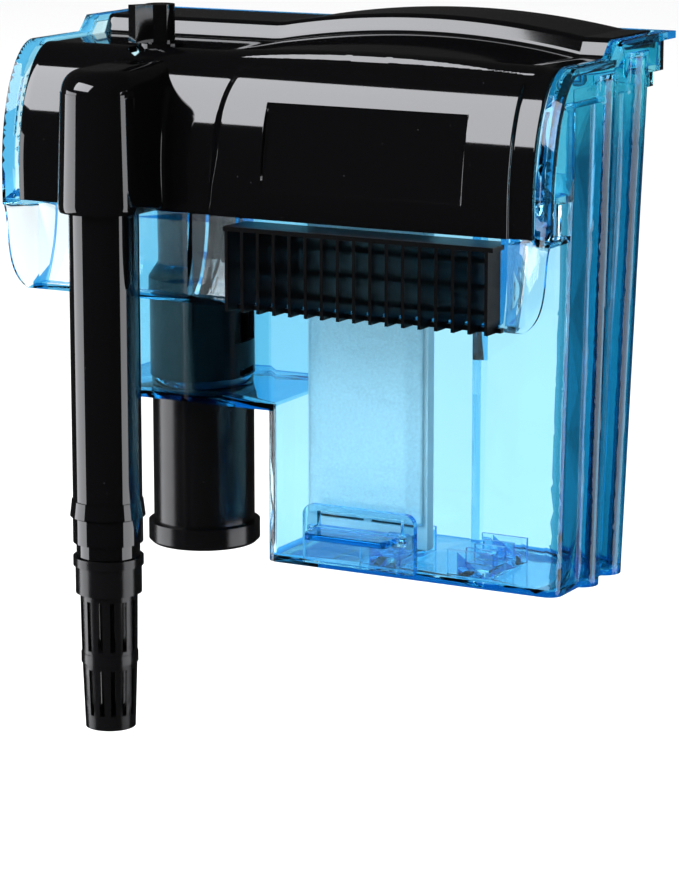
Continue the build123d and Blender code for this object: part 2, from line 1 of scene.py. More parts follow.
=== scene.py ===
import math
import bmesh
import bpy
import numpy as np
from mathutils import Matrix, Vector, noise
from mathutils.bvhtree import BVHTree


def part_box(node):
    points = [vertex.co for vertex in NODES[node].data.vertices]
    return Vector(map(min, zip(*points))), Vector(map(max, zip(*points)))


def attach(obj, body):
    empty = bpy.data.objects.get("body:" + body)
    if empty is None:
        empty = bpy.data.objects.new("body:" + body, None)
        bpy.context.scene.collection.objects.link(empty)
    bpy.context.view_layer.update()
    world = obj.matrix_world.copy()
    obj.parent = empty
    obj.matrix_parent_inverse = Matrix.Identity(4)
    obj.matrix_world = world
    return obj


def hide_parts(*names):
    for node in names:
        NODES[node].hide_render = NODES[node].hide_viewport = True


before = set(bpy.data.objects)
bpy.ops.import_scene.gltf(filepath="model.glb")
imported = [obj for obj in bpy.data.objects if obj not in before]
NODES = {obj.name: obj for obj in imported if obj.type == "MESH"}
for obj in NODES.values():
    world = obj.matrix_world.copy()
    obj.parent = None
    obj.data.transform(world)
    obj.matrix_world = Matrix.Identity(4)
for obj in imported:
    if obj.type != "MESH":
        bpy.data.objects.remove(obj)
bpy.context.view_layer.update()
MM = 0.001                    # the values and formulas below are in millimetres


# ------------------------------------------------------------------ materials
def new_material(name):
    """Empty node material with a Principled shader; returns (material, nodes, links, shader)."""
    material = bpy.data.materials.new(name)
    material.use_nodes = True
    tree = material.node_tree
    return material, tree.nodes, tree.links, tree.nodes["Principled BSDF"]


def fine_bump(nodes, links, shader, scale, strength, distance=0.0002, detail=4.0):
    """Small moulded unevenness in object space."""
    place = nodes.new("ShaderNodeTexCoord")
    texture = nodes.new("ShaderNodeTexNoise")
    texture.inputs["Scale"].default_value = scale
    texture.inputs["Detail"].default_value = detail
    bump = nodes.new("ShaderNodeBump")
    bump.inputs["Strength"].default_value = strength
    bump.inputs["Distance"].default_value = distance
    links.new(place.outputs["Object"], texture.inputs["Vector"])
    links.new(texture.outputs["Fac"], bump.inputs["Height"])
    links.new(bump.outputs["Normal"], shader.inputs["Normal"])
    return texture


def vary_roughness(nodes, links, shader, texture, low, high):
    """Roughness that follows a texture between two values."""
    ramp = nodes.new("ShaderNodeMapRange")
    ramp.inputs["To Min"].default_value = low
    ramp.inputs["To Max"].default_value = high
    links.new(texture.outputs["Fac"], ramp.inputs["Value"])
    links.new(ramp.outputs["Result"], shader.inputs["Roughness"])


DUST_SCALE = 160.0
DUST_EDGE = (0.02, 0.04)      # a speck fades out between these distances from its middle
DUST_COLOUR = (0.03, 0.03, 0.032, 1)


def black_plastic(name, level, roughness, spread, bump_scale, bump_strength, specular=0.5):
    """Black moulded plastic; its gloss varies a little and a few specks of dust are paler."""
    material, nodes, links, shader = new_material(name)
    shader.inputs["Specular IOR Level"].default_value = specular
    texture = fine_bump(nodes, links, shader, bump_scale, bump_strength)
    vary_roughness(nodes, links, shader, texture, max(roughness - spread, 0.02), roughness + spread)
    specks = nodes.new("ShaderNodeTexVoronoi")
    specks.inputs["Scale"].default_value = DUST_SCALE
    place = nodes.new("ShaderNodeTexCoord")
    links.new(place.outputs["Object"], specks.inputs["Vector"])
    ramp = nodes.new("ShaderNodeValToRGB")
    ramp.color_ramp.elements[0].position = DUST_EDGE[0]
    ramp.color_ramp.elements[0].color = DUST_COLOUR
    ramp.color_ramp.elements[1].position = DUST_EDGE[1]
    ramp.color_ramp.elements[1].color = (level, level, level * 1.15, 1)
    links.new(specks.outputs["Distance"], ramp.inputs["Fac"])
    links.new(ramp.outputs["Color"], shader.inputs["Base Color"])
    return material


CLEAR_INDEX = 1.22            # below the 1.5 of real plastic, so that walls seen through walls stay clear
CLEAR_COAT = (0.4, 0.06)      # weight and roughness of the reflecting outer film
MOTTLE = 0.012                # share of uneven colour


def clear_tinted(name, roughness):
    """Clear plastic whose tint, worked out face by face, is stored on the mesh as 'tint'."""
    material, nodes, links, shader = new_material(name)
    shader.inputs["IOR"].default_value = CLEAR_INDEX
    shader.inputs["Transmission Weight"].default_value = 1.0
    shader.inputs["Coat Weight"].default_value = CLEAR_COAT[0]
    shader.inputs["Coat Roughness"].default_value = CLEAR_COAT[1]
    tint = nodes.new("ShaderNodeAttribute")
    tint.attribute_name = "tint"
    texture = fine_bump(nodes, links, shader, 70.0, 0.06, 0.0003, 3.0)
    vary_roughness(nodes, links, shader, texture, roughness * 0.5, roughness * 1.5)
    shade = nodes.new("ShaderNodeMix")
    shade.data_type = "RGBA"
    shade.blend_type = "MULTIPLY"
    shade.inputs["Factor"].default_value = MOTTLE
    links.new(tint.outputs["Color"], shade.inputs["A"])
    links.new(texture.outputs["Color"], shade.inputs["B"])
    links.new(shade.outputs["Result"], shader.inputs["Base Color"])
    return material


def simple(name, colour, roughness, bump_scale, bump_strength, metallic=0.0):
    """Material with some colour variation, for rubber, metal, fibre and the like."""
    material, nodes, links, shader = new_material(name)
    texture = fine_bump(nodes, links, shader, bump_scale, bump_strength)
    mix = nodes.new("ShaderNodeMix")
    mix.data_type = "RGBA"
    mix.inputs["A"].default_value = (*[c * 0.8 for c in colour], 1)
    mix.inputs["B"].default_value = (*[min(c * 1.15, 1) for c in colour], 1)
    links.new(texture.outputs["Fac"], mix.inputs["Factor"])
    links.new(mix.outputs["Result"], shader.inputs["Base Color"])
    vary_roughness(nodes, links, shader, texture, roughness * 0.8, min(roughness * 1.2, 1))
    shader.inputs["Metallic"].default_value = metallic
    return material


def give(material, *names):
    """Assign a material to CAD nodes."""
    for name in names:
        mesh = NODES[name].data
        mesh.materials.clear()
        mesh.materials.append(material)


def soften(width, *names):
    """Round the sharp edges of CAD nodes a little, as moulded parts are."""
    for name in names:
        bevel = NODES[name].modifiers.new("edge_round", "BEVEL")
        bevel.width = width * MM
        bevel.segments = 2
        bevel.limit_method = "ANGLE"
        bevel.angle_limit = math.radians(40)


CLEAR = clear_tinted("clear_blue", 0.02)
# black: level of the base colour, roughness, its spread, scale and strength of the bump, specular level
GLOSS = black_plastic("gloss_black", 0.0014, 0.045, 0.012, 45.0, 0.02)
SATIN = black_plastic("satin_black", 0.0025, 0.22, 0.05, 120.0, 0.08, 0.35)
DULL = black_plastic("dull_black", 0.0015, 0.3, 0.05, 200.0, 0.1, 0.1)
# others: base colour, roughness, scale and strength of the bump, metallic
RUBBER = simple("rubber", (0.015, 0.015, 0.015), 0.7, 300.0, 0.2)
WHITE = simple("white_plastic", (0.8, 0.82, 0.82), 0.4, 100.0, 0.05)
CERAMIC = simple("ceramic", (0.85, 0.83, 0.76), 0.2, 200.0, 0.05)
FERRITE = simple("ferrite", (0.05, 0.05, 0.055), 0.5, 400.0, 0.2)
STEEL = simple("lamination_steel", (0.5, 0.5, 0.52), 0.35, 300.0, 0.1, 1.0)
COPPER = simple("winding_copper", (0.7, 0.3, 0.12), 0.3, 500.0, 0.3, 1.0)
RESIN = simple("potting_resin", (0.05, 0.04, 0.035), 0.3, 50.0, 0.05)
FLOSS = simple("fibre_floss", (0.82, 0.88, 0.92), 0.95, 900.0, 1.0)
CARBON = simple("carbon_granules", (0.015, 0.015, 0.015), 0.8, 600.0, 1.0)

give(GLOSS, "flow_knob", "u_tube", "tube_collar", "extension_tube")
give(SATIN, "strainer", "motor_housing", "motor_end_cap")
give(DULL, "bio_screen", "flow_valve", "impeller_cover")
give(RUBBER, "knob_seal", "tube_seal", "upper_bush", "lower_bush", "motor_seal", "cable_gland")
give(WHITE, "impeller", "coil_bobbin", "cartridge_frame")
give(CERAMIC, "impeller_shaft")
give(FERRITE, "rotor_magnet")
give(STEEL, "stator_core")
give(COPPER, "stator_coil")
give(RESIN, "potting_resin")
give(CARBON, "carbon_bed")
soften(0.5, "flow_knob", "motor_end_cap")
soften(0.35, "tube_collar", "extension_tube", "motor_housing")
soften(0.2, "strainer", "bio_screen", "cartridge_frame")


# ------------------------------------------------------------------ mesh helpers
def add_piece(name, mesh, material, body, replaced):
    """New object that rides on a body and stands for a CAD node."""
    piece = bpy.data.objects.new(name, mesh)
    bpy.context.scene.collection.objects.link(piece)
    mesh.materials.clear()
    mesh.materials.append(material)
    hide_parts(replaced)
    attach(piece, body)
    return piece


def grid_mesh(name, rows):
    """Smooth mesh from rows of points in millimetres; every row has the same number of points."""
    mesh = bpy.data.meshes.new(name)
    columns = len(rows[0])
    points = [Vector(p) * MM for row in rows for p in row]
    faces = []
    for j in range(len(rows) - 1):
        for i in range(columns - 1):
            a = j * columns + i
            faces.append((a, a + 1, a + 1 + columns, a + columns))
    mesh.from_pydata(points, [], faces)
    mesh.polygons.foreach_set("use_smooth", [True] * len(mesh.polygons))
    return mesh


def step(value, low, high):
    """Smooth ramp from 0 at low to 1 at high."""
    t = min(max((value - low) / (high - low), 0.0), 1.0)
    return t * t * (3 - 2 * t)


def spaced(start, end, pitch):
    """Even values from start up to, but not including, end."""
    count = max(int(round(abs(end - start) / pitch)), 1)
    return [start + (end - start) * i / count for i in range(count)]


# ------------------------------------------------------------------ clear blue pieces
WALL = 2.2
ABSORB = np.array([0.255, 0.082, 0.027])             # absorption in each millimetre: red, green, blue
PANE = (0.868, 0.955, 0.986)                         # the thin front box
SIDE = (0.006, 0.13, 0.235)                          # the deep side wall, seen along its flutes
# painted light: the side wall's colour near its top, paler than lower down
SIDE_TOP_LIGHT = (0.08, 0.66, 0.82)                        # the same wall near its top
# painted shade: the pump's bay is tinted darker than its plastic, for the water and shade in it
PUMP_BAY_SHADE = (0.3, 0.66, 0.82)                         # the shallow part around the pump
# painted light and shade: one plastic, tinted darker for the right-hand outer wall and paler for the
# left-hand one
UPPER_RIGHT_SHADE = (0.13, 0.62, 0.8)                      # the outer wall above the bridge, right-hand
UPPER_LEFT_LIGHT = (0.6, 0.88, 0.95)                       # and left-hand
EDGE_DEPTH = 4.0              # a face with more plastic behind it than this is an edge
DEEPEST = 26.0                # a longer way through the plastic makes it no darker
LEVEL = 0.6                   # a face is level, or faces front or rear, past this share of its normal
ALONG_FLOOR, ALONG_EDGE = 5.0, 1.8                   # light crosses floors and edges at a slant
RIM_X, RIM_Y, RIM_Z = 102.0, 45.0, -12.0             # the curved side rims: outside, in front, above
RIM_THICK = 9.0
BOX_Y, BOX_Z = -4.0, -9.0                            # the front box: in front, below
SIDE_X, SIDE_Y = 97.0, 7.5                           # the right-hand side wall: outside, behind
PUMP_X, PUMP_Z = -14.0, (-84.0, 2.0)                 # the pump's bay: left of, between
UPPER_X = 100.0                                      # the outer walls: outside
CUTS = (                                             # planes along inner faces: point, normal
    ((0, 0, -138.1), (0, 0, 1)), ((0, 0, -82.1), (0, 0, 1)), ((0, 0, -40.1), (0, 0, 1)),
    ((99.3, 0, -140.3), (1, 0, -0.0196)), ((-13.3, 0, 0), (1, 0, 0)), ((91.3, 0, 0), (1, 0, 0)),
    ((-95.3, 0, 0), (1, 0, 0)), ((0, 0, 34.0), (0, 0, 1)), ((0, 0, 14.0), (0, 0, 1)),
)
SEAM = 4.93                   # the bracket's rear face, just clear of the reservoir's at 5


def wall_depths(mesh, limit):
    """Thickness of plastic behind each face, by a ray from its middle inwards."""
    tree = BVHTree.FromPolygons([v.co.copy() for v in mesh.vertices], [p.vertices[:] for p in mesh.polygons])
    depths = []
    for polygon in mesh.polygons:
        start = polygon.center - polygon.normal * 2e-5
        hit = tree.ray_cast(start, -polygon.normal, limit)
        depths.append((hit[3] if hit[0] is not None else limit) / MM)
    return depths


def side_tint(y, z):
    """Colour of the right-hand side wall: painted highlight and shade stripes along its flutes, and painted
    light that makes it paler towards the top.
    """
    # painted highlight and shade: lighter and darker stripes along the flutes
    painted_flute_stripes = 0.5 + 0.5 * math.sin(y * 0.9) * math.sin(y * 0.37 + 1.0)
    side = np.array(SIDE) * (0.7 + 0.9 * painted_flute_stripes)
    # painted light: the share of the paler colour grows towards the top
    share = 0.5 * step(z, 14.0, 34.0) + 0.3 * step(z, 34.0, 42.0)
    return tuple(side * (1 - share) + np.array(SIDE_TOP_LIGHT) * share)


def tint_of(centre, normal, depth):
    """Colour that one wall lets through: deeper where light runs along the plastic; the side wall, the
    pump's bay and the upper outer walls take set colours with painted light and shade instead.
    """
    x, y, z = (c / MM for c in centre)
    edge = depth > EDGE_DEPTH
    level = abs(normal.z) > LEVEL
    if abs(x) > RIM_X and y < RIM_Y and z > RIM_Z and (abs(normal.x) < 0.5 or edge):
        return tuple(np.exp(-ABSORB * RIM_THICK))
    thick = max(depth, 0.8)
    if level:
        thick *= ALONG_FLOOR
    elif edge:
        thick *= ALONG_EDGE
    base = tuple(np.exp(-ABSORB * min(thick, DEEPEST)))
    if edge or level:
        return base
    if y < BOX_Y and z < BOX_Z:
        return PANE
    # below: set colours with painted light and shade, in place of the depth tint
    if x > SIDE_X and y > SIDE_Y:
        return side_tint(y, z)
    # painted shade in the pump's bay
    if x < PUMP_X and PUMP_Z[0] < z < PUMP_Z[1] and abs(normal.y) > LEVEL:
        return PUMP_BAY_SHADE
    # painted shade on the right-hand upper wall, painted light on the left-hand one
    if abs(x) > UPPER_X and z > 0:
        return UPPER_RIGHT_SHADE if x > 0 else UPPER_LEFT_LIGHT
    return base


def clean_copy(name, node):
    """Copy of a CAD node's mesh without the triangles inside its flat faces."""
    work = bmesh.new()
    work.from_mesh(NODES[node].data)
    bmesh.ops.remove_doubles(work, verts=work.verts, dist=2e-6)
    bmesh.ops.dissolve_limit(
        work, angle_limit=math.radians(0.6), verts=work.verts, edges=work.edges, delimit={"NORMAL"}
    )
    for point, normal in CUTS if node == "filter_body" else ():
        bmesh.ops.bisect_plane(
            work, geom=work.verts[:] + work.edges[:] + work.faces[:], dist=1e-6,
            plane_co=Vector(point) * MM, plane_no=Vector(normal)
        )
    bmesh.ops.triangulate(work, faces=work.faces)
    if node == "leveller_bracket":
        for vert in work.verts:
            vert.co.y = min(vert.co.y, SEAM * MM)
    mesh = bpy.data.meshes.new(name)
    work.to_mesh(mesh)
    work.free()
    return mesh


def clear_piece(name, node, body):
    """Piece for a clear CAD node, with a tint for each face."""
    mesh = clean_copy(name, node)
    depths = wall_depths(mesh, 60.0 * MM)
    attribute = mesh.attributes.new("tint", "FLOAT_COLOR", "CORNER")
    for polygon, depth in zip(mesh.polygons, depths):
        tint = tint_of(polygon.center, polygon.normal, depth)
        for corner in polygon.loop_indices:
            attribute.data[corner].color = (*tint, 1)
    mesh.polygons.foreach_set("use_smooth", [True] * len(mesh.polygons))
    mesh.set_sharp_from_angle(angle=math.radians(28))
    piece = add_piece(name, mesh, CLEAR, body, node)
    level = piece.modifiers.new("flat_faces", "WEIGHTED_NORMAL")
    level.keep_sharp = True
    level.weight = 100
    return piece


clear_piece("clear_body", "filter_body", "filter")
clear_piece("clear_bracket", "leveller_bracket", "filter")
clear_piece("clear_foot", "leveller_foot", "leveller")


# ------------------------------------------------------------------ lid
LID_HALF = 103.0
ARC_CENTRE = (1.0, -1.3)      # y and z of the middle of the lid's elliptic front
ARC_A, ARC_B = 21.6, 46.7     # its half axes
LEDGE_Z = -10.3               # its lower front edge
BROW_Y, BROW_Z = 38.7, 45.4   # foot of the sloped face
TOP_Y, TOP_Z = 42.4, 52.0     # top of the sloped face
FOOT_LEAD, FOOT_RUN = 1.2, 1.7        # the foot's rounding starts this far before it and is this long
CREST_SHARE, CREST_RUN = 0.12, 1.6    # the same at the top, as a share of the slope and as a length
REAR_Y, REAR_R = 77.2, 1.0    # rear edge and its rounding
PANEL_X = (-22.3, 93.5)       # the raised middle panel
PANEL_RISE = 1.4
PANEL_LEAN = 9.0              # how far its left edge leans in towards the top
PANEL_BEVEL = (0.5, 3.3, 0.9) # its left bevel at the bottom, what the top adds, and its right bevel
EDGE_DROP, EDGE_WIDTH = 0.9, 1.2      # rounding along the lid's two sides
ARCH_X = (-28.0, 92.0)
ARCH_RISE = 5.4
ARCH_FRONT, ARCH_BOW = -5.2, 2.4      # y of the arch's front lip at its ends, and how far it bows back
ARCH_FRONT_SHARE = 0.34       # part of the arch's rise that its lip has
LIP_LEAD, LIP_RUN = 0.7, 0.75         # the riser starts this far before the lip and is this deep
LIP_RISE = 0.7                # least height of the lip
LIP_ENDS = ((-14.0, -10.0), (95.0, 99.0))     # x over which it fades in and out
CRESCENT = (-9.3, -7.7)       # y of the panel's upper bevel: its top and its foot
LABEL_X = (-1.0, 76.5)
LABEL_Z = (-1.0, 30.1)        # a flat field without any lettering
LABEL_Y = (-22.0, -16.15)     # its depth at its lower and at its upper edge
LABEL_EDGE = 0.3


def lid_front():
    """Front part of the profile: a short upright strip and a quarter of an ellipse."""
    points = [(ARC_CENTRE[0] - ARC_A, z, -1.0, 0.0) for z in spaced(LEDGE_Z, ARC_CENTRE[1], 2.0)]
    for degrees in spaced(180.0, 90.0, 0.6):
        t = math.radians(degrees)
        ny, nz = math.cos(t) / ARC_A, math.sin(t) / ARC_B
        length = math.hypot(ny, nz)
        y = ARC_CENTRE[0] + ARC_A * math.cos(t)
        z = ARC_CENTRE[1] + ARC_B * math.sin(t)
        points.append((y, z, ny / length, nz / length))
    return points


def lid_slope():
    """The sloped face between shoulder and rear, rounded at its foot and at its top."""
    points = []
    run, rise = TOP_Y - BROW_Y, TOP_Z - BROW_Z
    slope = math.atan2(rise, run)
    for i in range(9):
        t = i / 8
        angle = slope * step(t, 0.0, 1.0)
        y = BROW_Y - FOOT_LEAD + FOOT_RUN * t
        points.append((y, BROW_Z + 0.75 * t * t, -math.sin(angle), math.cos(angle)))
    for t in spaced(0.14, 1 - CREST_SHARE, 0.12):
        points.append((BROW_Y + run * t, BROW_Z + rise * t, -math.sin(slope), math.cos(slope)))
    for i in range(7):
        t = i / 6
        angle = slope * (1 - step(t, 0.0, 1.0))
        y = TOP_Y - run * CREST_SHARE + CREST_RUN * t
        z = TOP_Z - rise * CREST_SHARE * (1 - t) ** 2
        points.append((y, z, -math.sin(angle), math.cos(angle)))
    return points


def lid_profile():
    """Points of the lid's skin from its front edge to its rear edge, with outward normals."""
    points = lid_front()
    points += [(y, BROW_Z, 0.0, 1.0) for y in spaced(ARC_CENTRE[0], BROW_Y - 2.0, 1.6)]
    points += lid_slope()
    points += [(y, TOP_Z, 0.0, 1.0) for y in spaced(TOP_Y + CREST_RUN, REAR_Y - REAR_R, 3.0)]
    for degrees in spaced(90.0, 0.0, 15.0):
        t = math.radians(degrees)
        y = REAR_Y - REAR_R + REAR_R * math.cos(t)
        z = TOP_Z - REAR_R + REAR_R * math.sin(t)
        points.append((y, z, math.cos(t), math.sin(t)))
    return points + [(REAR_Y, z, 1.0, 0.0) for z in (TOP_Z - REAR_R, 48.0, 46.4)]


def lid_columns():
    """X positions across the lid, close together where its relief changes."""
    left, right = LABEL_X
    edges = (-LID_HALF, -102.0, -24.0, -8.0, left - 1, left + 1, right - 1, right + 1,
             91.0, 96.0, 101.0, LID_HALF)
    pitches = (0.25, 3.0, 0.45, 1.5, 0.2, 2.0, 0.2, 1.5, 0.25, 1.0, 0.25)
    columns = []
    for i, pitch in enumerate(pitches):
        columns += spaced(edges[i], edges[i + 1], pitch)
    return columns + [LID_HALF]


def arch_height(x):
    """Rise of the arched rear part at x."""
    middle = (ARCH_X[0] + ARCH_X[1]) / 2
    half = (ARCH_X[1] - ARCH_X[0]) / 2
    share = (x - middle) / half
    return ARCH_RISE * (1 - share * share) if abs(share) < 1 else 0.0


def panel_share(x, y, z):
    """How far the raised middle panel stands up at a point of the front: 0 to 1."""
    left = PANEL_X[0] + PANEL_LEAN * max((z + 10.0) / 55.0, 0.0) ** 6
    low, extra, right = PANEL_BEVEL
    bevel = low + extra * step(z, -8.0, 14.0)
    share = step(x, left, left + bevel) * (1 - step(x, PANEL_X[1], PANEL_X[1] + right))
    return share * (1 - step(y, *CRESCENT))


def label_depth(x, y, z):
    """Y of a point of the front once the flat field is let into it."""
    share = (z - LABEL_Z[0]) / (LABEL_Z[1] - LABEL_Z[0])
    flat = LABEL_Y[0] + (LABEL_Y[1] - LABEL_Y[0]) * share
    inside = step(x, LABEL_X[0] - LABEL_EDGE, LABEL_X[0] + LABEL_EDGE)
    inside *= 1 - step(x, LABEL_X[1] - LABEL_EDGE, LABEL_X[1] + LABEL_EDGE)
    inside *= step(z, LABEL_Z[0], LABEL_Z[0] + 1.5)
    return y + (max(flat, y) - y) * inside


def arch_lift(x, y):
    """Height that the arch adds: a riser at its lip, then a steady climb to the sloped face."""
    height = arch_height(x)
    lip = ARCH_FRONT + ARCH_BOW * height / ARCH_RISE
    start = lip - LIP_LEAD
    if y <= start:
        return 0.0
    least = LIP_RISE * step(x, *LIP_ENDS[0]) * (1 - step(x, *LIP_ENDS[1]))
    riser = max(ARCH_FRONT_SHARE * height, least)
    along = min(max((y - lip) / (BROW_Y - lip), 0.0), 1.0)
    return (riser * (1 - along) + height * along) * step(y, start, start + LIP_RUN)


def lid_point(x, y, z, ny, nz):
    """Place of one point of the lid's skin."""
    round_off = EDGE_DROP * (1 - step(LID_HALF - abs(x), 0.0, EDGE_WIDTH)) ** 2
    lift = PANEL_RISE * panel_share(x, y, z) - round_off
    skin_y = y + ny * lift
    skin_z = z + nz * lift
    if LABEL_Z[0] < skin_z < LABEL_Z[1] and y < 0:
        skin_y = label_depth(x, skin_y, skin_z)
    return (x, skin_y, skin_z + arch_lift(x, y))


def make_lid_shell():
    """Curved skin of the lid with its raised panel, flat field, crescent step and arch."""
    columns = lid_columns()
    rows = []
    for y, z, ny, nz in lid_profile():
        rows.append([lid_point(x, y, z, ny, nz) for x in columns])
    mesh = grid_mesh("lid_shell", rows)
    mesh.set_sharp_from_angle(angle=math.radians(50))
    piece = add_piece("lid_shell", mesh, GLOSS, "lid", "lid")
    solid = piece.modifiers.new("thickness", "SOLIDIFY")
    solid.thickness = WALL * MM
    solid.offset = 1.0 if mesh.polygons[0].normal.y > 0 else -1.0
    return piece


# ------------------------------------------------------------------ intake hood of the lid
TUBE_X, HOOD_Y = -58.0, -34.0
HOOD_R = (16.3, 14.4)         # half width at the bottom and at the top
HOOD_Z = (-9.5, 42.6)
HOOD_WALL = 1.8
HOOD_SHOULDER = 34.0          # top of its plain sides
HOOD_ROUND = 7.5              # radius of the edge between its sides and its top
FLARE = 3.5                   # radius of the hollow fillet where it meets the lid
HOOD_TOP = ((-60.0, -40.0, 20.0), (38.6, 40.4, 42.6))        # y and height along its top
HOOD_MEETS = -20.0            # y at which its top meets the lid
SIDE_SINK, TOP_SINK = 0.6, 3.0        # how far its sides and its top run on into the lid


def lid_front_y(z):
    """Y of the lid's plain front at a height."""
    share = min(max((z - ARC_CENTRE[1]) / ARC_B, 0.0), 0.9999)
    return ARC_CENTRE[0] - ARC_A * math.sqrt(1 - share * share)


def hood_row(half, inset, back_y, height):
    """One row of points round the hood, from lid to lid; height gives z from y."""
    count_flare, count_side, count_nose = 8, 6, 40
    r = max(half - inset, 0.05)
    points = []
    for i in range(count_flare):
        t = math.radians(90 - 90 * i / count_flare)
        points.append((-r - FLARE + FLARE * math.cos(t), back_y - FLARE + FLARE * math.sin(t)))
    start = back_y - FLARE
    for i in range(count_side):
        points.append((-r, start + (HOOD_Y - start) * i / count_side))
    left = list(points)
    for i in range(count_nose + 1):
        t = math.pi + math.pi * i / count_nose
        points.append((r * math.cos(t), HOOD_Y + r * math.sin(t)))
    points += [(-x, y) for x, y in reversed(left)]
    return [(TUBE_X + x, y, height(y)) for x, y in points]


def hood_top(y):
    """Height of the hood's top, which slopes down towards its nose."""
    return float(np.interp(y, *HOOD_TOP))


def make_hood():
    """Hood over the intake tube: flared sides, rounded shoulders and a sloping top."""
    rows = []
    low, high = HOOD_Z
    for z in spaced(low, HOOD_SHOULDER, 1.5):
        half = HOOD_R[0] + (HOOD_R[1] - HOOD_R[0]) * (z - low) / (high - low)
        inset = 0.5 * (1 - step(z, low, low + 1.2)) ** 2
        rows.append(hood_row(half, inset, lid_front_y(z) + SIDE_SINK, lambda y, z=z: z))
    half = HOOD_R[1]
    top = hood_top(HOOD_MEETS)
    for i in range(13):
        t = math.radians(90 * i / 12)
        inset = HOOD_ROUND * (1 - math.cos(t))
        drop = HOOD_ROUND * (1 - math.sin(t))
        back = lid_front_y(top - drop) + TOP_SINK
        rows.append(hood_row(half, inset, back, lambda y, drop=drop: hood_top(y) - drop))
    for i in range(1, 7):
        inset = HOOD_ROUND + (half - HOOD_ROUND) * i / 6
        rows.append(hood_row(half, inset, lid_front_y(top) + TOP_SINK, hood_top))
    mesh = grid_mesh("lid_hood", rows)
    piece = add_piece("lid_hood", mesh, GLOSS, "lid", "lid")
    solid = piece.modifiers.new("thickness", "SOLIDIFY")
    solid.thickness = HOOD_WALL * MM
    solid.offset = 1.0 if mesh.polygons[20].normal.y > 0 else -1.0
    return piece


KNOB_Y = 6.0
KNOB_HOLE = 8.6               # radius
KNOB_CUT = (30.0, 60.0)       # heights between which the knob's openings are cut
KEYHOLE = (12.6, 3.3, 241.4)  # reach, half width and direction of the keyhole for the grip
WAY_HALF = 12.8               # half width of the opening behind the hood
WAY_Y, WAY_Z = (-60.0, 0.0), (-30.0, 38.0)


def cutter_box(x, y, z, turn=0.0, place=(0.0, 0.0)):
    """Box mesh object between two corners, turned about an upright axis through place."""
    mesh = bpy.data.meshes.new("cutter")
    work = bmesh.new()
    bmesh.ops.create_cube(work, size=1.0)
    size = Matrix.Diagonal((x[1] - x[0], y[1] - y[0], z[1] - z[0], 1))
    middle = Matrix.Translation(((x[0] + x[1]) / 2, (y[0] + y[1]) / 2, (z[0] + z[1]) / 2))
    where = Matrix.Translation((place[0], place[1], 0)) @ Matrix.Rotation(math.radians(turn), 4, "Z")
    work.transform(Matrix.Scale(MM, 4) @ where @ middle @ size)
    work.to_mesh(mesh)
    work.free()
    return bpy.data.objects.new("cutter", mesh)


def cutter_post(x, y, z, radius):
    """Upright cylinder mesh object."""
    mesh = bpy.data.meshes.new("cutter")
    work = bmesh.new()
    bmesh.ops.create_cone(
        work, cap_ends=True, segments=72, radius1=radius * MM, radius2=radius * MM, depth=(z[1] - z[0]) * MM
    )
    work.transform(Matrix.Translation((x * MM, y * MM, (z[0] + z[1]) / 2 * MM)))
    work.to_mesh(mesh)
    work.free()
    return bpy.data.objects.new("cutter", mesh)


def cut_out(piece, cutters):
    """Subtract the cutters from the thickened piece and keep the result as its mesh."""
    for cutter in cutters:
        bpy.context.scene.collection.objects.link(cutter)
        hole = piece.modifiers.new("hole", "BOOLEAN")
        hole.operation = "DIFFERENCE"
        hole.solver = "EXACT"
        hole.object = cutter
    bpy.context.view_layer.update()
    graph = bpy.context.evaluated_depsgraph_get()
    mesh = bpy.data.meshes.new_from_object(piece.evaluated_get(graph))
    piece.modifiers.clear()
    piece.data = mesh
    mesh.set_sharp_from_angle(angle=math.radians(40))
    for cutter in cutters:
        bpy.data.objects.remove(cutter)


def knob_cutters():
    """Cutters for the round hole for the knob's flange and for the keyhole for its grip."""
    reach, half, turn = KEYHOLE
    return [
        cutter_post(TUBE_X, KNOB_Y, KNOB_CUT, KNOB_HOLE),
        cutter_box((0, reach), (-half, half), KNOB_CUT, turn, (TUBE_X, KNOB_Y)),
    ]


tube_way = cutter_box((TUBE_X - WAY_HALF, TUBE_X + WAY_HALF), WAY_Y, WAY_Z)
cut_out(make_lid_shell(), knob_cutters() + [tube_way])
cut_out(make_hood(), knob_cutters())


# ------------------------------------------------------------------ floss sheets
FLOSS_GAP = 0.4               # the sheets stay this far inside the pad's box
FLOSS_BORDER = 7.0            # width of the border that is pulled in
FLOSS_GRID = (36, 110)        # steps across and up
FLOSS_SWELL = (0.35, 0.5)     # fullness at the border, and what the middle adds
FLOSS_WAVES = ((0.1, 0.22, 3.0), (0.05, 0.9, 5.0))   # height, closeness and offset of its unevenness


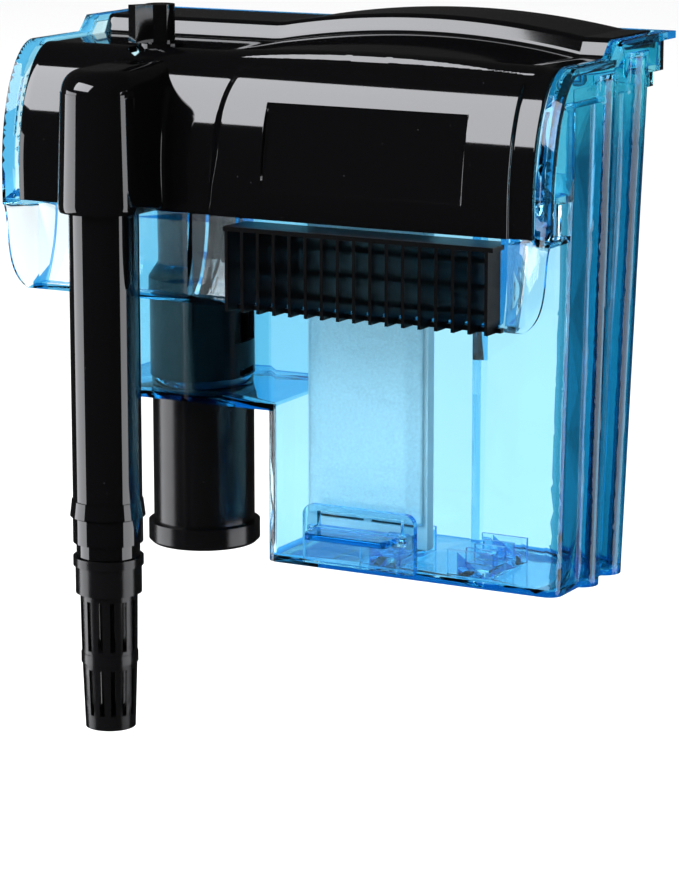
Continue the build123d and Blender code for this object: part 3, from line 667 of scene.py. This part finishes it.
def make_floss(name, y_skin, y_frame):
    """Crowned, quilted sheet of fibre: full in the middle and pulled in at its welded border."""
    low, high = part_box("floss_pad")
    x0, x1 = low.x / MM + FLOSS_GAP, high.x / MM - FLOSS_GAP
    z0, z1 = low.z / MM + FLOSS_GAP, high.z / MM - FLOSS_GAP
    columns, count = FLOSS_GRID
    side = 1 if y_skin > y_frame else -1
    depth = abs(y_skin - y_frame)
    rows = []
    for j in range(count + 1):
        v = j / count
        row = []
        for i in range(columns + 1):
            u = i / columns
            border = min(u, 1 - u) * (x1 - x0)
            border = min(border, min(v, 1 - v) * (z1 - z0))
            swell = FLOSS_SWELL[0] + FLOSS_SWELL[1] * step(border, 0.0, FLOSS_BORDER)
            x, z = x0 + (x1 - x0) * u, z0 + (z1 - z0) * v
            for height, close, offset in FLOSS_WAVES:
                swell += height * noise.noise(Vector((x * close, side * offset, z * close)))
            row.append((x, y_frame + side * depth * min(swell, 0.97), z))
        rows.append(row)
    mesh = grid_mesh(name, rows)
    piece = add_piece(name, mesh, FLOSS, "cartridge", "floss_pad")
    solid = piece.modifiers.new("thickness", "SOLIDIFY")
    solid.thickness = depth * 0.3 * MM
    solid.offset = -1.0 if mesh.polygons[0].normal.y * side > 0 else 1.0
    return piece


pad_low, pad_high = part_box("floss_pad")
frame_low, frame_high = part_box("cartridge_frame")
make_floss("floss_front", pad_low.y / MM, frame_low.y / MM)
make_floss("floss_rear", pad_high.y / MM, frame_high.y / MM)


# ------------------------------------------------------------------ stage, light and camera
LAMP_COLOUR = (0.95, 0.96, 1.0)
FLOOR_HALF, FLOOR_Z = 6.0, -0.36      # metres
DARK_ROOM = 0.03              # what mirror-like reflections see of the surroundings
CAMERA_AZIMUTH, CAMERA_ELEVATION = 28.4, 12.16
CAMERA_PLACE = (0.5862, -1.0503, 0.1654)
CAMERA_LENS = 139.5


def soft_box(name, azimuth, elevation, distance, size, radiance):
    """Soft box that faces the object from a direction; azimuth 0 is -Y and grows towards +X."""
    turn, rise = math.radians(azimuth), math.radians(elevation)
    place = Vector((math.sin(turn) * math.cos(rise), -math.cos(turn) * math.cos(rise), math.sin(rise)))
    data = bpy.data.lights.new(name, "AREA")
    data.shape = "RECTANGLE"
    data.size, data.size_y = size
    data.energy = radiance * math.pi * size[0] * size[1]
    data.color = LAMP_COLOUR
    lamp = bpy.data.objects.new(name, data)
    bpy.context.scene.collection.objects.link(lamp)
    lamp.location = place * distance
    lamp.rotation_mode = "QUATERNION"
    lamp.rotation_quaternion = (-place).to_track_quat("-Z", "Y")


def make_floor():
    """Pale floor, left out of reflections so that the black gloss shows only the soft boxes."""
    mesh = bpy.data.meshes.new("floor")
    signs = ((-1, -1), (1, -1), (1, 1), (-1, 1))
    corners = [(x * FLOOR_HALF, y * FLOOR_HALF, FLOOR_Z) for x, y in signs]
    mesh.from_pydata(corners, [], [(0, 1, 2, 3)])
    floor = bpy.data.objects.new("floor", mesh)
    bpy.context.scene.collection.objects.link(floor)
    material, _, _, shader = new_material("pale_floor")
    shader.inputs["Base Color"].default_value = (0.93, 0.93, 0.93, 1)
    shader.inputs["Roughness"].default_value = 0.9
    shader.inputs["Specular IOR Level"].default_value = 0.1
    mesh.materials.append(material)
    floor.visible_glossy = False


def make_world():
    """White surroundings; mirror-like reflections see a dark room so that black stays black."""
    world = bpy.data.worlds.new("studio")
    bpy.context.scene.world = world
    world.use_nodes = True
    nodes, links = world.node_tree.nodes, world.node_tree.links
    background = nodes["Background"]
    path = nodes.new("ShaderNodeLightPath")
    mix = nodes.new("ShaderNodeMix")
    mix.data_type = "FLOAT"
    mix.inputs["A"].default_value = 1.0
    mix.inputs["B"].default_value = DARK_ROOM
    mirror = nodes.new("ShaderNodeMath")
    mirror.operation = "SUBTRACT"
    mirror.use_clamp = True
    links.new(path.outputs["Is Glossy Ray"], mirror.inputs[0])
    links.new(path.outputs["Is Transmission Ray"], mirror.inputs[1])
    links.new(mirror.outputs["Value"], mix.inputs["Factor"])
    links.new(mix.outputs["Result"], background.inputs["Strength"])
    background.inputs["Color"].default_value = (1, 1, 1, 1)


def make_camera():
    """Camera in front of the object, to its right and a little above it."""
    turn, rise = math.radians(CAMERA_AZIMUTH), math.radians(CAMERA_ELEVATION)
    back = Vector((math.sin(turn) * math.cos(rise), -math.cos(turn) * math.cos(rise), math.sin(rise)))
    right = Vector((math.cos(turn), math.sin(turn), 0))
    up = back.cross(right)
    data = bpy.data.cameras.new("camera")
    data.lens = CAMERA_LENS
    data.sensor_width = 36.0
    camera = bpy.data.objects.new("camera", data)
    bpy.context.scene.collection.objects.link(camera)
    turned = Matrix((right, up, back)).transposed().to_4x4()
    camera.matrix_world = Matrix.Translation(CAMERA_PLACE) @ turned
    bpy.context.scene.camera = camera


make_floor()
make_world()
make_camera()
soft_box("front_box", -33.0, 34.0, 3.0, (2.6, 1.66), 11.0)
soft_box("left_box", -65.0, -8.0, 3.0, (2.3, 1.6), 5.0)
soft_box("right_box", 104.0, -8.0, 3.0, (2.3, 1.6), 4.5)
bpy.context.scene.view_settings.view_transform = "Standard"
